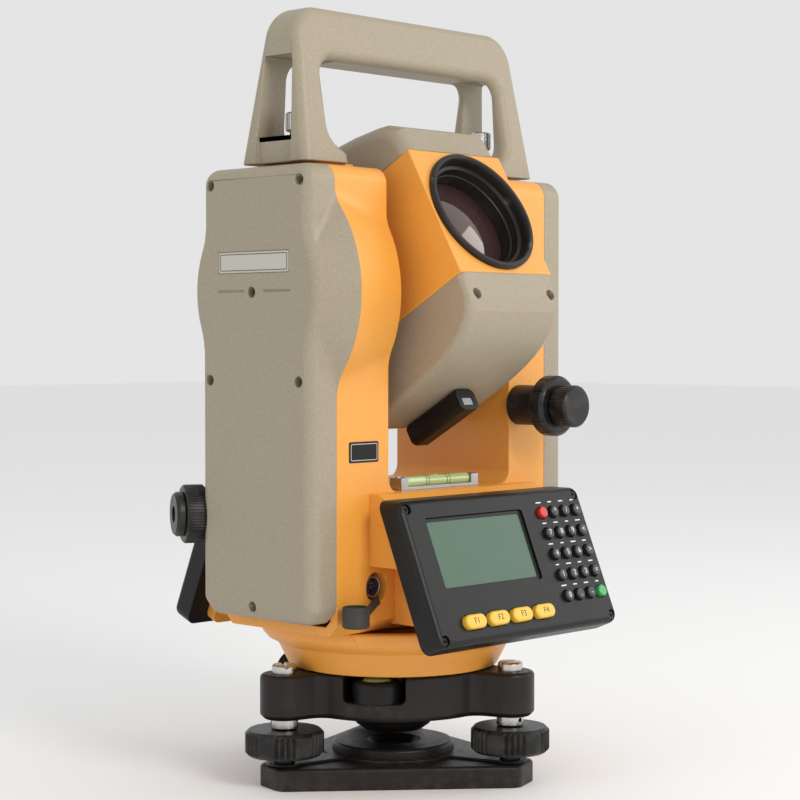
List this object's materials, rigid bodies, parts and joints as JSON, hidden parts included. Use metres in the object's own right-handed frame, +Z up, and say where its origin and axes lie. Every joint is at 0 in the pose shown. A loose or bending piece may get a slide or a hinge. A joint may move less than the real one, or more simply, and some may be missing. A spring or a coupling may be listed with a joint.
{
  "type": "surveying total station",
  "caption": "Electronic surveying total station: levelling base, rotating two-standard frame, tilting telescope, two keypad panels, fine-motion knobs and a carrying handle.",
  "frame": {"origin": "on the vertical axis at the underside of the base plate, the mouth of the tripod thread", "axes": "+Z up the vertical axis, X along the trunnion axis, -Y towards the front panel and, at rest, the objective"},
  "size_m": [0.1877, 0.1594, 0.331],
  "materials": {
    "orange_paint": "satin enamel, warm orange yellow, fine orange-peel texture",
    "grey_shell": "beige grey moulded plastic, fine speckled texture",
    "black_anodised": "dark brown black anodised aluminium, satin",
    "black_plastic": "satin black moulded plastic",
    "rubber_black": "matt black rubber",
    "steel": "bright machined steel",
    "aluminium": "machined aluminium",
    "bronze": "bearing bronze",
    "glass": "clear optical glass",
    "level_glass": "glass vial filled with pale green spirit",
    "lcd": "green grey display window",
    "key_amber": "amber keys",
    "key_red": "red key",
    "key_green": "green key",
    "key_dark": "dark rubber keys"
  },
  "bodies": {
    "tribrach": {"base_plate": "black_anodised", "spring_plate": "black_anodised", "tribrach_body": "black_anodised", "foot_screw_nuts": "steel", "circular_level_case": "black_plastic", "circular_level_vial": "level_glass", "lower_housing": "orange_paint", "axis_bush": "bronze"},
    "alidade": {"alidade_frame": "orange_paint", "panel_brackets": "orange_paint", "left_cover": "grey_shell", "right_cover": "grey_shell", "case_screws": "steel", "handle": "grey_shell", "axis_spindle": "steel", "plate_level_mount": "aluminium", "plate_level_vial": "level_glass", "front_panel_case": "black_plastic", "rear_panel_case": "black_plastic", "display_windows": "lcd", "data_socket": "aluminium", "plummet_tube": "black_anodised", "clamp_bosses": "black_anodised", "trunnion_bushes": "bronze"},
    "telescope": {"telescope_body": "orange_paint", "telescope_top_cover": "grey_shell", "telescope_bottom_cover": "grey_shell", "telescope_screws": "steel", "objective_ring": "black_anodised", "objective_lens": "glass", "sight_collimators": "black_plastic", "trunnion_axles": "steel", "vertical_circle": "glass"},
    "lock_knob": {"tribrach_lock_knob": "black_anodised"},
    "foot_screw_1": {"foot_screw_1": "black_anodised"},
    "foot_screw_2": {"foot_screw_2": "black_anodised"},
    "foot_screw_3": {"foot_screw_3": "black_anodised"},
    "handle_screw_left": {"handle_screw_left": "steel"},
    "handle_screw_right": {"handle_screw_right": "steel"},
    "focus_ring": {"focus_ring": "black_plastic"},
    "eyepiece": {"eyepiece": "black_plastic"},
    "plummet_focus_ring": {"plummet_focus_ring": "black_plastic"},
    "plummet_eyepiece": {"plummet_eyepiece": "black_plastic"},
    "vertical_clamp_ring": {"vertical_clamp_ring": "black_plastic"},
    "vertical_tangent_knob": {"vertical_tangent_knob": "black_plastic"},
    "horizontal_clamp_ring": {"horizontal_clamp_ring": "black_plastic"},
    "horizontal_tangent_knob": {"horizontal_tangent_knob": "black_plastic"},
    "front_f1_key": {"front_f1_key": "key_amber"},
    "front_f2_key": {"front_f2_key": "key_amber"},
    "front_f3_key": {"front_f3_key": "key_amber"},
    "front_f4_key": {"front_f4_key": "key_amber"},
    "front_power_key": {"front_power_key": "key_red"},
    "front_enter_key": {"front_enter_key": "key_green"},
    "front_number_keys": {"front_number_keys": "key_dark"},
    "rear_f_keys": {"rear_f_keys": "key_amber"},
    "rear_power_key": {"rear_power_key": "key_red"},
    "rear_enter_key": {"rear_enter_key": "key_green"},
    "rear_number_keys": {"rear_number_keys": "key_dark"},
    "battery_pack": {"battery_pack": "black_plastic"},
    "socket_cap": {"socket_cap": "rubber_black"}
  },
  "joints": [
    {"name": "alidade_turn", "type": "hinge", "parent": "tribrach", "child": "alidade", "pos_m": [0, 0, 0.07], "axis": [0, 0, 1], "continuous": true},
    {"name": "telescope_tilt", "type": "hinge", "parent": "alidade", "child": "telescope", "pos_m": [0, 0, 0.216], "axis": [1, 0, 0], "continuous": true},
    {"name": "foot_screw_1_turn", "type": "hinge", "parent": "tribrach", "child": "foot_screw_1", "pos_m": [0.03767, 0.04184, 0.02], "axis": [0, 0, 1], "range_deg": [-1440, 1440]},
    {"name": "foot_screw_2_turn", "type": "hinge", "parent": "tribrach", "child": "foot_screw_2", "pos_m": [-0.05507, 0.01171, 0.02], "axis": [0, 0, 1], "range_deg": [-1440, 1440]},
    {"name": "foot_screw_3_turn", "type": "hinge", "parent": "tribrach", "child": "foot_screw_3", "pos_m": [0.0174, -0.05354, 0.02], "axis": [0, 0, 1], "range_deg": [-1440, 1440]},
    {"name": "lock_knob_turn", "type": "hinge", "parent": "tribrach", "child": "lock_knob", "pos_m": [-0.01545, 0.04755, 0.04], "axis": [-0.309, 0.9511, 0], "range_deg": [0, 120]},
    {"name": "handle_screw_left_turn", "type": "hinge", "parent": "alidade", "child": "handle_screw_left", "pos_m": [-0.058, 0, 0.283], "axis": [0, 0, 1], "range_deg": [0, 1440]},
    {"name": "handle_screw_right_turn", "type": "hinge", "parent": "alidade", "child": "handle_screw_right", "pos_m": [0.058, 0, 0.283], "axis": [0, 0, 1], "range_deg": [0, 1440]},
    {"name": "focus_ring_turn", "type": "hinge", "parent": "telescope", "child": "focus_ring", "pos_m": [0, 0, 0.216], "axis": [0, -0.866, 0.5], "range_deg": [-200, 200]},
    {"name": "eyepiece_turn", "type": "hinge", "parent": "telescope", "child": "eyepiece", "pos_m": [0, 0, 0.216], "axis": [0, -0.866, 0.5], "range_deg": [-150, 150]},
    {"name": "plummet_focus_turn", "type": "hinge", "parent": "alidade", "child": "plummet_focus_ring", "pos_m": [0, 0, 0.117], "axis": [-0.8746, 0.4848, 0], "range_deg": [-120, 120]},
    {"name": "plummet_eyepiece_turn", "type": "hinge", "parent": "alidade", "child": "plummet_eyepiece", "pos_m": [0, 0, 0.117], "axis": [-0.8746, 0.4848, 0], "range_deg": [-120, 120]},
    {"name": "vertical_clamp_turn", "type": "hinge", "parent": "alidade", "child": "vertical_clamp_ring", "pos_m": [0.0454, -0.05, 0.1627], "axis": [0, -1, 0], "range_deg": [0, 90]},
    {"name": "vertical_tangent_turn", "type": "hinge", "parent": "alidade", "child": "vertical_tangent_knob", "pos_m": [0.0454, -0.06, 0.1627], "axis": [0, -1, 0], "range_deg": [-1080, 1080]},
    {"name": "horizontal_clamp_turn", "type": "hinge", "parent": "alidade", "child": "horizontal_clamp_ring", "pos_m": [0.08, 0, 0.104], "axis": [1, 0, 0], "range_deg": [0, 90]},
    {"name": "horizontal_tangent_turn", "type": "hinge", "parent": "alidade", "child": "horizontal_tangent_knob", "pos_m": [0.09, 0, 0.104], "axis": [1, 0, 0], "range_deg": [-1080, 1080]},
    {"name": "front_f1_press", "type": "slide", "parent": "alidade", "child": "front_f1_key", "axis": [0, 0.9219, -0.3875], "range_m": [0, 0.0012], "stiffness_N_per_m": 400},
    {"name": "front_f2_press", "type": "slide", "parent": "alidade", "child": "front_f2_key", "axis": [0, 0.9219, -0.3875], "range_m": [0, 0.0012], "stiffness_N_per_m": 400},
    {"name": "front_f3_press", "type": "slide", "parent": "alidade", "child": "front_f3_key", "axis": [0, 0.9219, -0.3875], "range_m": [0, 0.0012], "stiffness_N_per_m": 400},
    {"name": "front_f4_press", "type": "slide", "parent": "alidade", "child": "front_f4_key", "axis": [0, 0.9219, -0.3875], "range_m": [0, 0.0012], "stiffness_N_per_m": 400},
    {"name": "front_power_press", "type": "slide", "parent": "alidade", "child": "front_power_key", "axis": [0, 0.9219, -0.3875], "range_m": [0, 0.0012], "stiffness_N_per_m": 400},
    {"name": "front_enter_press", "type": "slide", "parent": "alidade", "child": "front_enter_key", "axis": [0, 0.9219, -0.3875], "range_m": [0, 0.0012], "stiffness_N_per_m": 400},
    {"name": "front_number_press", "type": "slide", "parent": "alidade", "child": "front_number_keys", "axis": [0, 0.9219, -0.3875], "range_m": [0, 0.0012], "stiffness_N_per_m": 1500},
    {"name": "rear_f_press", "type": "slide", "parent": "alidade", "child": "rear_f_keys", "axis": [0, -0.9219, -0.3875], "range_m": [0, 0.0012], "stiffness_N_per_m": 1000},
    {"name": "rear_power_press", "type": "slide", "parent": "alidade", "child": "rear_power_key", "axis": [0, -0.9219, -0.3875], "range_m": [0, 0.0012], "stiffness_N_per_m": 400},
    {"name": "rear_enter_press", "type": "slide", "parent": "alidade", "child": "rear_enter_key", "axis": [0, -0.9219, -0.3875], "range_m": [0, 0.0012], "stiffness_N_per_m": 400},
    {"name": "rear_number_press", "type": "slide", "parent": "alidade", "child": "rear_number_keys", "axis": [0, -0.9219, -0.3875], "range_m": [0, 0.0012], "stiffness_N_per_m": 1500},
    {"name": "battery_release", "type": "slide", "parent": "alidade", "child": "battery_pack", "axis": [1, 0, 0], "range_m": [0, 0.03]},
    {"name": "socket_cap_swing", "type": "hinge", "parent": "alidade", "child": "socket_cap", "pos_m": [-0.047, -0.0363, 0.083], "axis": [0, 0, 1], "range_deg": [0, 30]}
  ]
}
